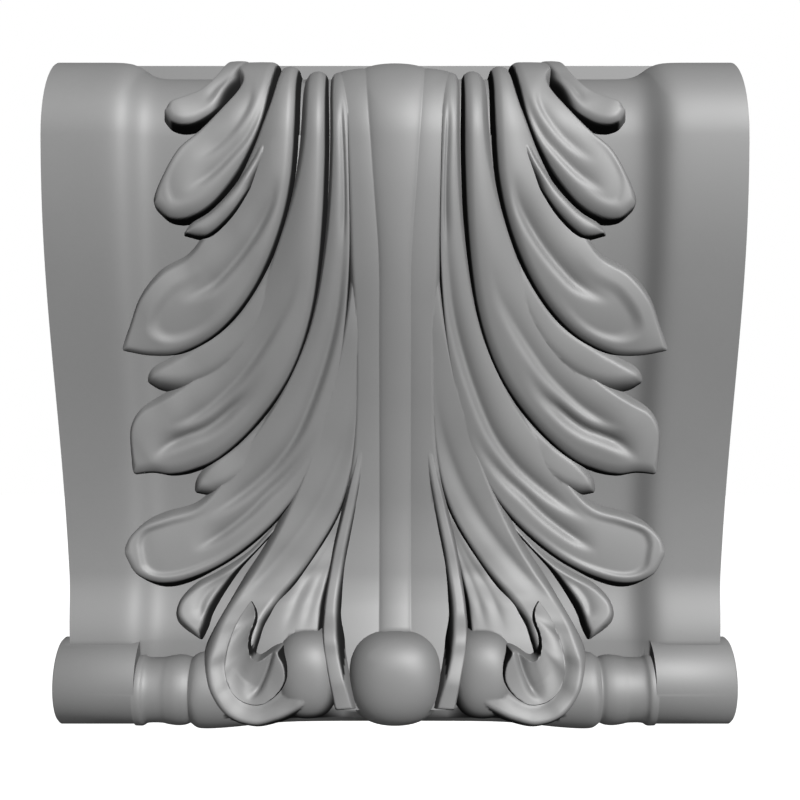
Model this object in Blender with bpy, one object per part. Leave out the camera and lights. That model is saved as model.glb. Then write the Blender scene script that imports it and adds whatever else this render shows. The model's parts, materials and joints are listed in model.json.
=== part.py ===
# Carved corbel: a flat-backed bracket block with a scrolled head, a sunk front panel, a turned
# roll along the foot and an acanthus leaf carved over the front. One piece of stone, one solid.
#
# Frame: +X is the viewer's right, -Y is forward, +Z is up, and the origin lies on the flat back.
# Sizes are in millimetres and are turned into metres where vertices are made.
#
# The carving is drawn on the face of the block, unrolled flat. A place on the face is (x, w, h):
# x across, w up the unrolled face (equal to the height z on the lower part, running on over the
# scroll above it) and h outward, measured from the face of the borders.

import math

import bmesh
import bpy
import numpy as np
from mathutils import Vector

MM = 0.001

# The block
SCROLL_RADIUS = 39.8        # quarter round at the head
SCROLL_CENTRE_DEPTH = 15.4  # its centre, forward of the back; also the depth of the top block
SCROLL_CENTRE_HEIGHT = 111.0
NECK_DEPTH = 24.1           # thinnest place of the face curve
NECK_HEIGHT = -80.0
BELLY_HANDLE = 70.0         # how long the face keeps upright below the scroll
NECK_HANDLE = 74.0          # and above the neck
FOOT_DEPTH = 30.0           # the face flares forward again behind the roll
FOOT_HEIGHT = -112.0
BACK_BOTTOM = -145.0
HALF_WIDTH = 150.7
TAPER_START = 80.0          # the sides draw in below this height
TAPER = 5.7
TAPER_LENGTH = 191.0
TAPER_POWER = 2.2
PANEL_DEPTH = 7.3
PANEL_EDGE = 112.5          # middle of the moulded step beside the panel
STEP_SOFTNESS = 5.2
PANEL_STATIONS = (0.0, 95.0, 104.0, 109.0, 113.0, 118.0, 124.0, HALF_WIDTH)
SIDE_MARGIN = 6.5           # plain margin round the sunk field on each side
SIDE_BEVEL = 2.5
SIDE_DEPTH = 2.5
SIDE_FOOT = -104.0          # the field stops above a plain foot

# The roll
END_RADIUS = 19.24
END_DEPTH = 22.0
END_HEIGHT = -128.9
END_INNER = 114.4
END_OUTER = 150.0
END_PROFILE = (              # place across, radius: a plain drum with a sunk ring round a flat eye
    (END_INNER, 0.0), (END_INNER, END_RADIUS), (END_OUTER - 0.8, END_RADIUS), (END_OUTER, END_RADIUS - 0.8),
    (END_OUTER, 14.0), (END_OUTER - 2.0, 12.5), (END_OUTER - 2.0, 7.5), (END_OUTER, 6.0), (END_OUTER, 0.0),
)
TURNED_DEPTH = 25.5
TURNED_HEIGHT = -132.5
ROLL_SIDES = 16
TURNED_PROFILE = (           # distance from the middle, radius
    (0.0, 13.6), (42.0, 13.8), (60.0, 15.0), (72.0, 16.2), (82.0, 16.9), (87.5, 16.6),
    (90.3, 15.0), (91.2, 14.4), (93.5, 15.2), (97.0, 15.5), (101.0, 15.0), (104.0, 14.4),
    (110.0, 14.4), (112.5, 15.6), (115.5, 15.6),
)

# The carving
ROOT = 178.0                # the ribs run over the scroll into the top block
FLOOR = -9.5                # edges of the carving go down to here, just under the panel
BURIED = -13.0              # underside of each carved form, inside the block
FACETS_ALONG = 12
FACETS_ACROSS = 6
OUTLINE_STEPS = 40
CREASE_STEPS = 12


def mix(low, high, share):
    return low + (high - low) * share


def ease(share):
    share = min(max(share, 0.0), 1.0)
    return share * share * (3.0 - 2.0 * share)


def along(levels, share):
    """Smooth run through levels that stand at equal distances."""
    place = min(max(share, 0.0), 1.0) * (len(levels) - 1)
    index = min(int(place), len(levels) - 2)
    return mix(levels[index], levels[index + 1], ease(place - index))


def bezier(points, share):
    a, b, c, d = (Vector(point) for point in points)
    rest = 1.0 - share
    return rest ** 3 * a + 3 * share * rest ** 2 * b + 3 * share ** 2 * rest * c + share ** 3 * d


def through(points, share):
    """Smooth curve that passes through every point (Catmull-Rom)."""
    place = min(max(share, 0.0), 1.0) * (len(points) - 1)
    index = min(int(place), len(points) - 2)
    t = place - index
    p1 = Vector(points[index])
    p2 = Vector(points[index + 1])
    p0 = Vector(points[index - 1]) if index > 0 else 2 * p1 - p2
    p3 = Vector(points[index + 2]) if index + 2 < len(points) else 2 * p2 - p1
    return 0.5 * (2 * p1 + (p2 - p0) * t + (2 * p0 - 5 * p1 + 4 * p2 - p3) * t * t
                  + (3 * p1 - p0 - 3 * p2 + p3) * t ** 3)


# ---------------------------------------------------------------- the face of the block

def face_table(steps):
    """Points (depth, height) down the curved front, from the scroll to the foot."""
    belly = ((SCROLL_CENTRE_DEPTH + SCROLL_RADIUS, SCROLL_CENTRE_HEIGHT),
             (SCROLL_CENTRE_DEPTH + SCROLL_RADIUS, SCROLL_CENTRE_HEIGHT - BELLY_HANDLE),
             (NECK_DEPTH, NECK_HEIGHT + NECK_HANDLE), (NECK_DEPTH, NECK_HEIGHT))
    foot = ((NECK_DEPTH, NECK_HEIGHT), (NECK_DEPTH, NECK_HEIGHT - 12.0),
            (FOOT_DEPTH, FOOT_HEIGHT + 12.0), (FOOT_DEPTH, FOOT_HEIGHT))
    points = [bezier(belly, i / steps) for i in range(steps)]
    return points + [bezier(foot, i / steps) for i in range(steps + 1)]


FACE = face_table(120)


def face_depth(height):
    if height <= FOOT_HEIGHT:
        return FOOT_DEPTH
    low, high = 0, len(FACE) - 1
    while high - low > 1:
        middle = (low + high) // 2
        if FACE[middle].y > height:
            low = middle
        else:
            high = middle
    share = (FACE[low].y - height) / (FACE[low].y - FACE[high].y)
    return mix(FACE[low].x, FACE[high].x, share)


def on_face(x, w, h):
    """World position, in metres, of a place on the unrolled face."""
    over = w - SCROLL_CENTRE_HEIGHT
    quarter = SCROLL_RADIUS * math.pi / 2
    if over > quarter:
        depth = SCROLL_CENTRE_DEPTH - (over - quarter)
        height = SCROLL_CENTRE_HEIGHT + SCROLL_RADIUS + h
    elif over > 0.0:
        angle = over / SCROLL_RADIUS
        depth = SCROLL_CENTRE_DEPTH + (SCROLL_RADIUS + h) * math.cos(angle)
        height = SCROLL_CENTRE_HEIGHT + (SCROLL_RADIUS + h) * math.sin(angle)
    else:
        lean = face_depth(w + 1.0) - face_depth(w - 1.0)
        normal = Vector((2.0, -lean)).normalized()
        depth = face_depth(w) + h * normal.x
        height = w + h * normal.y
    return Vector((x, -depth, height)) * MM


# ---------------------------------------------------------------- the leaf

LEAVES = {
    "top_bud": {
        "small": True,
        "outer": ((66, 178), (69, 160), (74, 146), (82.5, 132.5), (92, 128.8), (98, 126),
                  (100.6, 120.8)),
        "inner": ((58, 178), (60.5, 158), (66, 141), (73, 123), (81, 115), (89, 112), (96, 114),
                  (100.6, 120.8)),
        "crest": (-1.2, 0.8, 3.0, 4.4, 4.0), "tilt": (2, 2.4, 1.5, 0.5),
        "dome": (0.8, 0.8, 0.5, 0), "nose": (4, 5, 8, 9),
        "lip": (3, 3, 4, 7), "dish": 0.8,
        "creases": (
            (((64.5, 152), (69.5, 144.5), (74, 137), (78, 130.5), (81, 123)), -1.6, 3.5, 2.0),
        ),
    },
    "top_lobe": {
        "outer": ((62, 178), (63.5, 158), (67, 141), (74, 127), (84, 114.5), (93.5, 106), (100.5, 94),
                  (104.3, 85), (104.5, 79.5)),
        "inner": ((50.5, 178), (50.5, 158), (51, 140), (54.5, 116), (62, 97), (74, 80.5), (86, 72.6),
                  (96.5, 72.5), (104.5, 79.5)),
        "crest": (-1.3, 0.4, 2.6, 4.6, 4.6), "tilt": (4, 4, 4.0, 2.5, 1),
        "dome": (1.2, 1.2, 0.5, 0), "nose": (4, 6, 9, 10, 10),
        "lip": (4, 3, 2.3, 3.5, 7), "dish": 1.6,
        "creases": (
            (((63.5, 141), (64, 121), (76, 106), (86, 99.5)), -2.0, 6.0, 2.0),
            (((56, 136), (63, 110.5), (79, 93.5), (91, 86)), -2.0, 5.0, 2.0),
        ),
    },
    "sliver": {
        "small": True,
        "outer": ((57, 178), (57, 145), (58.5, 118), (63.5, 102), (70, 89), (79, 78.5), (88, 73.5),
                  (93, 67.5)),
        "inner": ((42, 178), (42, 145), (43.5, 118), (48.5, 99), (57, 83), (68, 72), (80, 64.5),
                  (93, 67.5)),
        "crest": (-5.0, -2.5, -1.0, 0.5, 1.5), "tilt": (4, 4, 2.5, 1),
        "dome": (1, 1.5, 1.5, 0.8), "nose": (5, 6, 8, 8, 7),
        "lip": (4, 3, 3, 3.5), "dish": 0.0,
        "creases": (),
    },
    "shoulder_lobe": {
        "outer": ((54, 178), (53, 142), (52.5, 112), (56, 90), (69, 76.5), (87, 62), (102, 53.5),
                  (111.5, 42.5), (116.5, 31), (121, 18.5)),
        "inner": ((41, 178), (40.5, 142), (40.5, 112), (43, 86), (50.5, 61), (62, 40), (76, 25),
                  (92, 16.5), (106, 15.5), (121, 18.5)),
        "crest": (-4.8, -1.4, 1.0, 3.0, 4.2, 4.4), "tilt": (4, 4, 4, 3, 1.5, 0.5),
        "dome": (2.2, 2.2, 1.5, 0.5), "nose": (4, 5, 6.5, 6.5, 5),
        "lip": (4, 4, 4, 3, 3.5), "dish": 2.2,
        "creases": (
            (((51, 96), (57, 74), (72, 54), (94, 41)), -2.8, 8.0, 2.0),
        ),
    },
    "shoulder_bud": {
        "small": True,
        "outer": ((45, 112), (48, 84), (55.5, 58), (71, 34), (88, 21.5), (99, 15.5), (108.5, 10.5),
                  (112, 3.5)),
        "inner": ((36, 112), (38, 80), (44, 46), (57.5, 17), (76, -3), (93, -9), (107, -6), (112, 3.5)),
        "crest": (-6, -4.5, -3, -1.5, -0.5, 0.5), "tilt": (1, 1, 1, 0.5),
        "dome": (0.5, 2.0, 3.0, 2.5, 1), "nose": (9, 12, 13, 12, 8),
        "lip": (3, 3, 3, 4), "dish": 0.0,
        "creases": (),
    },
    "middle_lobe": {
        "outer": ((43, 178), (42.5, 142), (43, 108), (50, 67), (60, 38), (75, 16.5), (91, 5),
                  (105, -1.5), (114.5, -6.5), (119.2, -14), (119.8, -25), (118.3, -38.5)),
        "inner": ((29, 178), (28, 142), (27.5, 104), (29.5, 66), (34.5, 33), (44.5, 6.5), (60, -15),
                  (76, -30), (89, -36.5), (100, -38.6), (109, -37.4), (118.3, -38.5)),
        "crest": (-7.0, -2.8, -1.0, 0.4, 1.6, 2.4, 3.0), "tilt": (4, 4, 4, 3, 2.0, 0.5),
        "dome": (2.8, 2.8, 2.2, 2.5, 2.5, 1.5), "nose": (4, 5, 7, 9, 8),
        "lip": (4, 4, 4, 3.5, 4.5), "dish": 0.0,
        "creases": (
            (((41.5, 60), (52, 31), (67, 9.5), (84, -6), (103, -13.5)), -2.6, 7.0, 2.0),
            (((55, 16), (72, -6), (85, -15.5), (101, -22), (110, -28.5)), -2.2, 5.0, 2.0),
        ),
    },
    "middle_bud": {
        "small": True,
        "outer": ((36, 42), (45, 12), (56.5, -6.5), (71, -21.5), (82.5, -30), (90, -38), (92, -46)),
        "inner": ((30, 36), (35, 1), (44, -20), (56.5, -38), (70, -51), (83.5, -55), (92, -46)),
        "crest": (-7, -3.5, -2.0, -1.0, 0.5), "tilt": (1, 1, 1, 0.5),
        "dome": (0.5, 2, 2.5, 1.5), "nose": (8, 10, 11, 10, 7),
        "lip": (3, 3, 3, 4), "dish": 0.0,
        "creases": (),
    },
    "lower_lobe": {
        "outer": ((35, 178), (32.5, 135), (31, 95), (33.5, 60), (41, 25), (53, 0), (66, -21),
                  (79, -38.5), (90, -49), (103, -53), (114, -57), (121.3, -63.5), (123.8, -71.5)),
        "inner": ((19.5, 178), (19.5, 135), (18.8, 92), (18.4, 56), (21, 22), (27.5, -12), (37.5, -37),
                  (52, -57), (70, -73), (88, -83), (104, -86.8), (117, -82.5), (123.8, -71.5)),
        "crest": (-6.0, -3.0, -1.8, -0.2, 1.8, 3.6, 4.4), "tilt": (3, 3, 3, 3, 3, 2.0, 0.5),
        "dome": (1.8, 1.8, 1.2, 0), "nose": (2.5, 3, 4, 5, 5),
        "lip": (4, 4, 4, 3, 3, 3, 4), "dish": 2.4,
        "creases": (
            (((23, 122), (23, 58), (29.5, 19), (44, -18), (61.5, -38.7), (79, -51.2),
            (91, -58)), -2.6, 6.0, 2.0),
            (((34, -14), (49.5, -37.3), (66, -52.9), (82.5, -65), (92, -70)), -2.2, 4.5, 2.0),
        ),
    },
    "lower_bud": {
        "small": True,
        "outer": ((42, -36), (52, -54), (66, -70), (80, -79.5), (91, -84.5), (98.5, -92), (98.5, -101),
                  (87, -111.5)),
        "inner": ((38, -38), (45, -51), (55, -64), (67, -77), (77.5, -89), (82.5, -97), (84, -104),
                  (87, -111.5)),
        "crest": (-8, -4, -2, -1, -1), "tilt": (0, 0, -1.0, -1.5, -1.5),
        "dome": (0, 0.5, 1.5, 1, 0.5), "nose": (1.5, 2, 3.5, 4),
        "lip": (2, 3, 4, 4), "dish": 0.0,
        "creases": (
            (((72, -80), (82, -86), (87, -93), (87.5, -101)), -1.2, 3.0, 2.0),
        ),
    },
    "curl_stem": {
        "outer": ((18.5, 60), (23, 24), (32, -14), (45, -43), (61, -66.5), (75, -86), (82, -100),
                  (84.8, -114)),
        "inner": ((14.8, 60), (14.3, 20), (16.5, -24), (23, -51), (35, -73), (48, -91.5), (56, -103.5),
                  (58, -116)),
        "crest": (-5, -2.5, -0.8, 1.5, 5, 9), "tilt": (0, 0.5, 0.5, 0, -1, -2),
        "dome": (0.5, -0.5, -1.5, -2, -2.5), "nose": (2, 2.5, 3.5, 4, 4),
        "lip": (2.5, 5, 6, 6, 5), "dish": 0.0, "blunt": True,
        "creases": (
            (((17, 10), (25, -28.5), (45.5, -65), (70, -95)), -1.2, 2.5, 4.0),
        ),
    },
    "fan": {
        "outer": ((20, -40), (29, -62), (42, -80), (54, -97), (59, -118)),
        "inner": ((19, -40), (24, -60), (28.5, -78), (32, -96), (33, -118)),
        "crest": (-7, -5, -2.5, 1.5, 5), "tilt": (0, 0, 0, 0),
        "dome": (0, 0.5, 1, 1), "nose": (1.5, 1.5, 2, 2.5),
        "lip": (1.5, 1.5, 1.5, 1.5), "dish": 0.0, "blunt": True,
        "creases": (
            (((22.4, -52), (32, -72), (42, -88), (50, -108)), -1.6, 2.5, 4.5),
            (((22.2, -52), (29.2, -72), (36, -88), (41.5, -108)), -1.6, 2.5, 4.0),
            (((22, -52), (26.5, -72), (31.2, -88), (36, -108)), -1.6, 2.5, 3.0),
        ),
    },
    "scroll_wrap": {
        "outer": ((76, -84), (81.6, -96), (85.2, -108), (85.6, -120), (82, -132), (74, -141),
                  (63, -146.4), (51, -147.6), (38, -143.5), (28, -135), (23.5, -125), (24.5, -114),
                  (28, -105.2)),
        "inner": ((67, -82), (72, -94), (74.5, -104), (75.5, -113), (74, -122), (70, -129.5),
                  (63.5, -133.5), (56.5, -134), (51, -130.5), (48.5, -124.5), (48, -118), (48, -113),
                  (49.5, -108.5)),
        "crest": (3, 9, 13, 16, 18, 19, 19, 18), "tilt": (0, 0, 0, 0),
        "dome": (0, 0, 0.5, 1.5, 3, 4), "nose": (1, 2.2, 2.6, 2.8, 3, 3, 3),
        "lip": (3, 5, 7, 9, 10, 11, 9, 7), "dish": 0.0, "blunt": True,
        "creases": (),
    },
    "scroll_spoon": {
        "outer": ((63.8, -92), (70, -101.5), (74, -110), (75, -118.5), (72.5, -127.5), (66, -133.5),
                  (58, -134.8), (50.5, -131), (45.5, -124), (45, -116), (47.8, -109)),
        "inner": ((63.8, -92), (60.8, -97), (60.2, -101.5), (62.2, -106.8), (62, -111), (59.8, -113.6),
                  (57.5, -112.9), (55, -111.2), (52.5, -110), (50, -109.3), (47.8, -109)),
        "crest": (8, 13, 17, 19, 20, 21, 21), "tilt": (0, -1, -1.5, -1, 0, 0),
        "dome": (0, -1.5, -2, -1, 0, 0), "nose": (0.8, 1.2, 1.2, 1.2, 1.5),
        "lip": (1, 1.6, 1.8, 2, 2.5, 3.5), "dish": 0.0,
        "creases": (
            (((52.5, -110.5), (54.2, -116), (56, -122.5), (59.5, -129), (64, -132.5)), -3.0, 2.5, 4.0),
        ),
    },
    "band": {
        "small": True,
        "outer": ((13, 5), (14.5, -20), (20, -46), (26.5, -72), (31, -96), (31.5, -112), (28.5, -126),
                  (26, -139.5)),
        "inner": ((8, 5), (9.5, -20), (14, -46), (20, -72), (24.2, -96), (23.5, -112), (20, -126),
                  (16.8, -139)),
        "crest": (-6, -3.5, -0.8, 1.5, 5, 10, 14, 13), "tilt": (0, 0, 0, 0),
        "dome": (0, 0.5, 0.8, 0.8), "nose": (2, 2, 2, 2.2),
        "lip": (2, 3, 3.5, 3.5), "dish": 0.0,
        "creases": (),
    },
}


def edge_place(leaf, side, share):
    """A place on the outer or inner edge, 0 at the root and 1 at the tip."""
    return through(leaf[side], share)


def leaf_outline(leaf, steps):
    """Segments round a leaf from root to tip and back, with how softly each place is rounded."""
    shares = [i / steps for i in range(steps + 1)]
    outer = [(*edge_place(leaf, "outer", s), along(leaf["lip"], s)) for s in shares]
    inner = [(*edge_place(leaf, "inner", s), along(leaf["nose"], s)) for s in shares]
    route = np.array(outer + inner[::-1])
    if leaf.get("blunt"):
        route = np.delete(route, steps, axis=0)
    starts, ends = route[:-1], route[1:]
    runs = ends - starts
    keep = np.hypot(runs[:, 0], runs[:, 1]) > 1e-6
    return starts[keep], runs[keep]


def inset_from(outline, spot):
    """Distance in from the nearest edge, in units of that edge's rounding."""
    starts, runs = outline
    gap = np.array(spot) - starts[:, :2]
    shares = np.clip((gap * runs[:, :2]).sum(1) / (runs[:, :2] ** 2).sum(1), 0.0, 1.0)
    gap = np.hypot(*(gap - shares[:, None] * runs[:, :2]).T)
    return float((gap / (starts[:, 2] + shares * runs[:, 2])).min())


def crease_level(crease, spot):
    """How much a crease lifts or sinks a place; its outer and inner flanks reach differently far."""
    points, height, outer_reach, inner_reach = crease
    line = [through(points, i / CREASE_STEPS) for i in range(CREASE_STEPS + 1)]
    best = None
    for index, (start, end) in enumerate(zip(line, line[1:])):
        run = end - start
        share = min(max((spot - start).dot(run) / run.length_squared, 0.0), 1.0)
        miss = spot - start - run * share
        if best is None or miss.length < best[0]:
            best = (miss.length, (index + share) / CREASE_STEPS, run.cross(miss))
    distance, reach, turn = best
    strength = ease(reach * 3.5) * ease((1.0 - reach) * 3.0)
    width = outer_reach if turn > 0 else inner_reach
    return height * strength * math.exp(-(distance / width) ** 2)


def leaf_level(leaf, share, across, spot, inset):
    """Outward level of the leaf: share along it, across from outer 0 to inner 1."""
    level = along(leaf["crest"], share) - along(leaf["tilt"], share) * (1.0 - across) ** 2
    level += along(leaf["dome"], share) * 4.0 * across * (1.0 - across)
    level -= leaf["dish"] * ease((share - 0.45) / 0.4) * ease((inset - 1.0) / 1.2)
    for crease in leaf["creases"]:
        level += crease_level(crease, spot)
    rounding = math.sqrt(1.0 - (1.0 - min(inset, 1.0)) ** 2)
    return mix(FLOOR, level, rounding)


def carve_sheet(name, columns, rows, top, under):
    """A closed form: a grid laid as its upper surface, with walls and an underside."""
    form = bmesh.new()
    bmesh.ops.create_grid(form, x_segments=columns, y_segments=rows, size=0.5)
    lower = list(form.verts)
    raised = bmesh.ops.extrude_face_region(form, geom=form.faces[:], use_keep_orig=True)
    upper = [item for item in raised["geom"] if isinstance(item, bmesh.types.BMVert)]
    for vertex in lower:
        vertex.co = under(vertex.co.x + 0.5, vertex.co.y + 0.5)
    for vertex in upper:
        vertex.co = top(vertex.co.x + 0.5, vertex.co.y + 0.5)
    bmesh.ops.remove_doubles(form, verts=form.verts, dist=0.00005)
    bmesh.ops.recalc_face_normals(form, faces=form.faces)
    mesh = bpy.data.meshes.new(name)
    form.to_mesh(mesh)
    form.free()
    return mesh


def leaf_mesh(name, leaf, side, depth):
    outline = leaf_outline(leaf, OUTLINE_STEPS)

    def place(share, across):
        share = 0.5 - 0.5 * math.cos(math.pi * share)    # rows crowd towards the root and the tip
        across = 0.5 - 0.5 * math.cos(math.pi * across)
        outer = edge_place(leaf, "outer", share)
        inner = edge_place(leaf, "inner", share)
        return share, across, outer.lerp(inner, across)

    def top(share, across):
        share, across, spot = place(share, across)
        level = leaf_level(leaf, share, across, spot, inset_from(outline, spot))
        return on_face(side * spot.x, spot.y, level)

    def under(share, across):
        spot = place(share, across)[2]
        return on_face(side * spot.x, spot.y, depth)

    if leaf.get("small"):
        return carve_sheet(name, FACETS_ALONG * 2 // 3, FACETS_ACROSS * 2 // 3, top, under)
    return carve_sheet(name, FACETS_ALONG, FACETS_ACROSS, top, under)


# ---------------------------------------------------------------- stem and tongue

STEM_EDGE = ((26.5, 178), (26, 144), (23, 120), (21.5, 90), (18.5, 57), (15.5, 20), (17, -20),
             (21.5, -50), (26, -76), (29, -104), (28, -122))
STEM_BEAD = ((14, 178), (12.5, 140), (9.5, 95), (7, 58), (7, 20), (7, -30), (7, -75), (7, -122))
STEM_EDGE_LEVEL = (-5.0, -4.0, -2.0, -1.0, -0.5, 0.0, 2.0, 8.0)
STEM_CREASE_LEVEL = (-3.6, -3.0, -1.8, -1.2, -1.0, -0.6, 0.5, 6.0)
BEAD_RISE = 2.4
STEM_NOSE = 3.0
STEM_ROWS = 18
STEM_COLUMNS = 12
BALLS = {                    # swollen ends of the leaf that hang over the roll
    "tongue": {"centre": (0.0, 30.0, -125.0), "radii": (17.5, 22.0, 21.0)},   # across, forward, up
    "scroll_eye": {"centre": (41.0, 30.0, -123.0), "radii": (15.5, 21.0, 19.5)},
}
BOXINESS = 0.32
BALL_SIDES = 14


def half_width(curve, height):
    """Half width at a height, from a curve of (half width, height) places read downwards."""
    low, high = 0.0, 1.0
    for _ in range(24):
        middle = (low + high) / 2
        if through(curve, middle).y > height:
            low = middle
        else:
            high = middle
    return through(curve, (low + high) / 2).x


def stem_mesh(name):
    last = -118.0

    def place(share, across):
        w = mix(ROOT, last, share)
        return w, (across - 0.5) * 2.0

    def top(share, across):
        w, reach = place(share, across)
        edge = half_width(STEM_EDGE, w)
        bead = half_width(STEM_BEAD, w)
        # rows fall on the creases beside the bead and crowd towards the edges
        if abs(reach) < 0.4:
            x = reach / 0.4 * bead
        else:
            x = math.copysign(mix(bead, edge, ease((abs(reach) - 0.4) / 0.6) ** 0.8), reach)
        crease = along(STEM_CREASE_LEVEL, share)
        if abs(x) < bead:
            level = crease + BEAD_RISE * math.sqrt(1.0 - (x / bead) ** 2 * 0.96)
        else:
            out = (abs(x) - bead) / (edge - bead)
            level = mix(crease, along(STEM_EDGE_LEVEL, share), out) + 0.9 * math.sin(math.pi * out)
            inset = min((edge - abs(x)) / STEM_NOSE, 1.0)
            level = mix(FLOOR, level, math.sqrt(1.0 - (1.0 - inset) ** 2))
        return on_face(x, w, level)

    def under(share, across):
        w, reach = place(share, across)
        return on_face(reach * half_width(STEM_EDGE, w), w, BURIED - 1.0)

    return carve_sheet(name, STEM_ROWS, STEM_COLUMNS, top, under)


def ball_mesh(name, ball, side):
    """A slightly squared ellipsoid."""
    form = bmesh.new()
    bmesh.ops.create_uvsphere(form, u_segments=BALL_SIDES, v_segments=BALL_SIDES // 2, radius=1.0)
    radii = Vector(ball["radii"])
    x, depth, z = ball["centre"]
    for vertex in form.verts:
        a, b, c = (part * part for part in vertex.co)
        swell = 1.0 + BOXINESS * (a * b + b * c + a * c)
        vertex.co = (vertex.co * radii * swell + Vector((side * x, -depth, z))) * MM
    mesh = bpy.data.meshes.new(name)
    form.to_mesh(mesh)
    form.free()
    return mesh


# ---------------------------------------------------------------- block and roll

def face_profile():
    """Side outline (depth, height) of the front, from the top block down to the foot."""
    arc = [Vector((math.sin(a), math.cos(a))) for a in (math.pi / 2 * i / 8 for i in range(8))]
    scroll = [Vector((SCROLL_CENTRE_DEPTH, SCROLL_CENTRE_HEIGHT)) + SCROLL_RADIUS * ray for ray in arc]
    return scroll + [Vector(point) for point in face_table(9)]


def panel_recess(x):
    return PANEL_DEPTH * (1.0 + math.tanh((PANEL_EDGE - abs(x)) / STEP_SOFTNESS)) / 2.0


def block_mesh(name):
    outline = face_profile()
    stations = [-x for x in reversed(PANEL_STATIONS[1:])] + list(PANEL_STATIONS)
    form = bmesh.new()
    rows = []
    for index, point in enumerate(outline):
        before = outline[max(index - 1, 0)]
        after = outline[min(index + 1, len(outline) - 1)]
        run = after - before if index else Vector((1.0, 0.0))
        normal = Vector((-run.y, run.x)).normalized()
        row = []
        for x in stations:
            place = point - normal * panel_recess(x)
            drop = max(TAPER_START - place.y, 0.0) / TAPER_LENGTH
            limit = HALF_WIDTH - TAPER * drop ** TAPER_POWER
            row.append((max(min(x, limit), -limit), place.x, place.y))
        rows.append(row)
    top = SCROLL_CENTRE_HEIGHT + SCROLL_RADIUS
    rows.insert(0, [(x, SCROLL_CENTRE_DEPTH, top) for x in stations])
    rows.insert(0, [(x, 0.0, top) for x in stations])
    foot_limit = max(x for x, depth, height in rows[-1])
    rows.append([(max(min(x, foot_limit), -foot_limit), END_DEPTH, BACK_BOTTOM + 12.0) for x in stations])
    rows.append([(max(min(x, foot_limit), -foot_limit), 12.0, BACK_BOTTOM) for x in stations])
    rows.append([(max(min(x, foot_limit), -foot_limit), 0.0, BACK_BOTTOM) for x in stations])
    grid = [[form.verts.new((x * MM, -depth * MM, height * MM)) for x, depth, height in row] for row in rows]
    for upper, lower in zip(grid, grid[1:]):
        for column in range(len(stations) - 1):
            form.faces.new((upper[column], lower[column], lower[column + 1], upper[column + 1]))
    form.faces.new([row[0] for row in reversed(grid)])
    form.faces.new([row[-1] for row in grid])
    form.faces.new(list(reversed(grid[0])) + grid[-1])
    bmesh.ops.remove_doubles(form, verts=form.verts, dist=0.00001)
    bmesh.ops.recalc_face_normals(form, faces=form.faces)
    bmesh.ops.triangulate(form, faces=form.faces)
    mesh = bpy.data.meshes.new(name)
    form.to_mesh(mesh)
    form.free()
    return mesh


def side_field_mesh(name, side):
    """What is cut away to sink a plain field in one side: a flared plate that follows the face curve."""
    outline = [point for point in face_profile() if point.y > SIDE_FOOT]
    top = SCROLL_CENTRE_HEIGHT + SCROLL_RADIUS
    form = bmesh.new()
    rings = []
    for margin, rise in ((SIDE_MARGIN - 0.4 * SIDE_BEVEL, 1.0), (SIDE_MARGIN + SIDE_BEVEL, -SIDE_DEPTH)):
        low = SIDE_FOOT + margin
        front = []
        for before, point, after in zip(outline, outline[1:], outline[2:]):
            run = (after - before).normalized()
            place = point + Vector((run.y, -run.x)) * margin
            if low + 1.5 < place.y < top - margin - 0.5:
                front.append(place)
        start = Vector((face_depth(low) - margin, low))
        ring = [Vector((margin, top - margin)), Vector((front[0].x - 2.0, top - margin))]
        ring += front + [start, Vector((margin, low))]
        verts = []
        for place in ring:
            drop = max(TAPER_START - place.y, 0.0) / TAPER_LENGTH
            x = side * (HALF_WIDTH - TAPER * drop ** TAPER_POWER + rise)
            verts.append(form.verts.new(Vector((x, -place.x, place.y)) * MM))
        rings.append(verts)
    edges = [form.edges.new(pair) for ring in rings for pair in zip(ring, ring[1:] + ring[:1])]
    bmesh.ops.bridge_loops(form, edges=edges)
    bmesh.ops.holes_fill(form, edges=[edge for edge in form.edges if edge.is_boundary])
    bmesh.ops.triangulate(form, faces=form.faces)
    bmesh.ops.recalc_face_normals(form, faces=form.faces)
    mesh = bpy.data.meshes.new(name)
    form.to_mesh(mesh)
    form.free()
    return mesh


def lathe_mesh(name, profile, depth, height, sides):
    """Turned form about an axis across the block: profile is (place across, radius)."""
    form = bmesh.new()
    places = [Vector((x, 0.0, radius)) * MM for x, radius in profile]
    verts = [form.verts.new(place) for place in places]
    edges = [form.edges.new(pair) for pair in zip(verts, verts[1:])]
    bmesh.ops.spin(form, geom=verts + edges, cent=(0, 0, 0), axis=(1, 0, 0), angle=math.tau,
                   steps=sides, use_merge=True)
    bmesh.ops.remove_doubles(form, verts=form.verts, dist=0.00001)
    bmesh.ops.holes_fill(form, edges=[edge for edge in form.edges if edge.is_boundary])
    bmesh.ops.translate(form, verts=form.verts, vec=Vector((0, -depth, height)) * MM)
    bmesh.ops.recalc_face_normals(form, faces=form.faces)
    mesh = bpy.data.meshes.new(name)
    form.to_mesh(mesh)
    form.free()
    return mesh


# ---------------------------------------------------------------- assembly

def clear_scene():
    for item in list(bpy.data.objects):
        bpy.data.objects.remove(item)


def stone_material():
    stone = bpy.data.materials.new("grey_stone")
    stone.use_nodes = True
    shader = stone.node_tree.nodes["Principled BSDF"]
    shader.inputs["Base Color"].default_value = (0.3, 0.3, 0.3, 1.0)
    shader.inputs["Roughness"].default_value = 0.6
    shader.inputs["Metallic"].default_value = 0.0
    return stone


def guide(name, mesh, group):
    item = bpy.data.objects.new(name, mesh)
    item.hide_render = True
    item.display_type = "WIRE"
    group.objects.link(item)
    return item


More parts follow.
